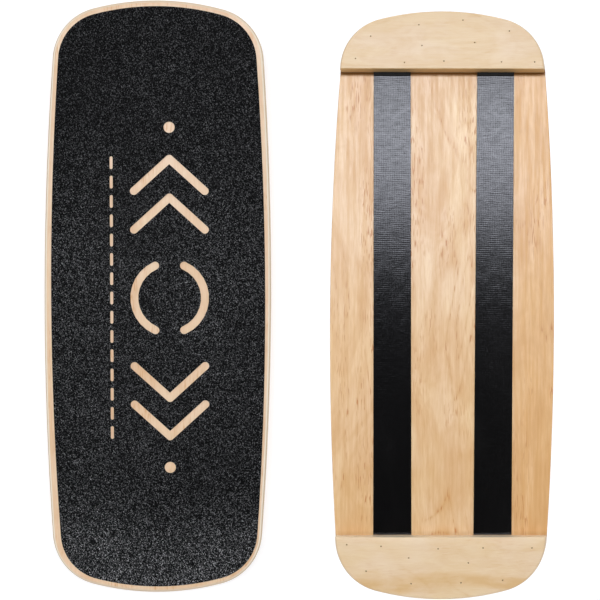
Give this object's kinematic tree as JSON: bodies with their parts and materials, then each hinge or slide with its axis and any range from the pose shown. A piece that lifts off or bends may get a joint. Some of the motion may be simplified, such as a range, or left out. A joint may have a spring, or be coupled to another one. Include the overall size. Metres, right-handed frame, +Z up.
{
  "type": "balance board",
  "caption": "Rounded plywood balance board with a patterned black grip sheet on top, and friction strips and nailed end stops for a roller underneath.",
  "frame": {"origin": "below the middle of the board, on the plane that the faces of the two end stops rest on", "axes": "+X along the board towards the front stop, +Y across it, +Z up, with the grip sheet on top"},
  "size_m": [0.74, 0.283, 0.026],
  "materials": {
    "deck_face": "rotary-cut birch face veneer, grain along the board, clear satin varnish",
    "long_veneer": "plywood layer seen along its grain, sanded and varnished at the edge",
    "cross_veneer": "plywood layer seen on its end grain, sanded and varnished at the edge",
    "stop_face": "pale birch face veneer, grain across the board, clear satin varnish",
    "grip": "black abrasive sheet with fine glinting grit",
    "strip": "black tape with a fine woven texture and a soft sheen",
    "brad": "small dull steel brads, sunk below the wood"
  },
  "bodies": {
    "root": {"deck_face_bottom": "deck_face", "deck_ply_2": "cross_veneer", "deck_ply_3": "long_veneer", "deck_ply_4": "cross_veneer", "deck_ply_5": "long_veneer", "deck_ply_6": "cross_veneer", "deck_ply_7": "long_veneer", "deck_ply_8": "cross_veneer", "deck_face_top": "deck_face", "front_stop_face": "stop_face", "front_stop_ply_2": "cross_veneer", "front_stop_ply_3": "long_veneer", "front_stop_ply_4": "cross_veneer", "front_stop_ply_5": "long_veneer", "front_stop_ply_6": "cross_veneer", "front_stop_ply_7": "long_veneer", "front_stop_ply_8": "cross_veneer", "front_stop_back": "long_veneer", "rear_stop_face": "stop_face", "rear_stop_ply_2": "cross_veneer", "rear_stop_ply_3": "long_veneer", "rear_stop_ply_4": "cross_veneer", "rear_stop_ply_5": "long_veneer", "rear_stop_ply_6": "cross_veneer", "rear_stop_ply_7": "long_veneer", "rear_stop_ply_8": "cross_veneer", "rear_stop_back": "long_veneer", "grip_sheet": "grip", "left_friction_strip": "strip", "right_friction_strip": "strip", "front_brads": "brad", "rear_brads": "brad"}
  },
  "joints": []
}
